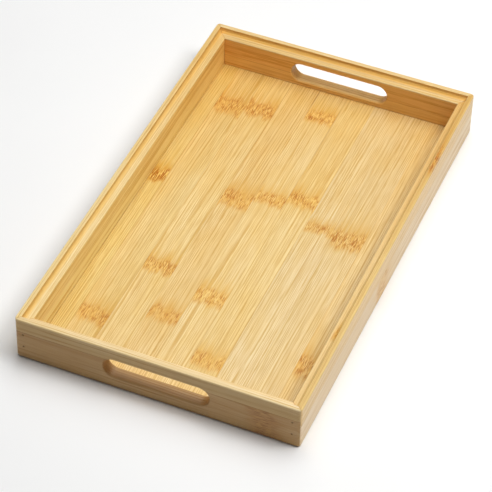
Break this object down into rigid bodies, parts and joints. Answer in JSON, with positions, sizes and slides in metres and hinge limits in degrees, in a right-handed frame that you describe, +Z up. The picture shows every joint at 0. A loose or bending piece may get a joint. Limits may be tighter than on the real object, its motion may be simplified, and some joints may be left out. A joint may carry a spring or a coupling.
{
  "type": "serving tray",
  "caption": "Shallow rectangular bamboo serving tray with mitred rails, a raised outer lip over an inner ledge, and a rounded hand slot in each end.",
  "frame": {"origin": "centre of the tray's footprint, on the surface it stands on", "axes": "+X to the right across the width, +Y along the length from the front end rail to the back end rail, +Z up"},
  "size_m": [0.21, 0.35, 0.0365],
  "materials": {
    "base_bamboo": "satin clear lacquer over flat-laid bamboo strips",
    "rail_upper_bamboo": "satin clear lacquer",
    "rail_lower_bamboo": "satin clear lacquer",
    "brad_steel": "dull, dark with age and wax"
  },
  "bodies": {
    "root": {"base_strip_1": "base_bamboo", "base_strip_2": "base_bamboo", "base_strip_3": "base_bamboo", "base_strip_4": "base_bamboo", "base_strip_5": "base_bamboo", "base_strip_6": "base_bamboo", "base_strip_7": "base_bamboo", "base_strip_8": "base_bamboo", "base_strip_9": "base_bamboo", "left_rail_lower": "rail_lower_bamboo", "left_rail_upper": "rail_upper_bamboo", "right_rail_lower": "rail_lower_bamboo", "right_rail_upper": "rail_upper_bamboo", "front_rail_lower": "rail_lower_bamboo", "front_rail_upper": "rail_upper_bamboo", "back_rail_lower": "rail_lower_bamboo", "back_rail_upper": "rail_upper_bamboo", "corner_brads": "brad_steel"}
  },
  "joints": []
}
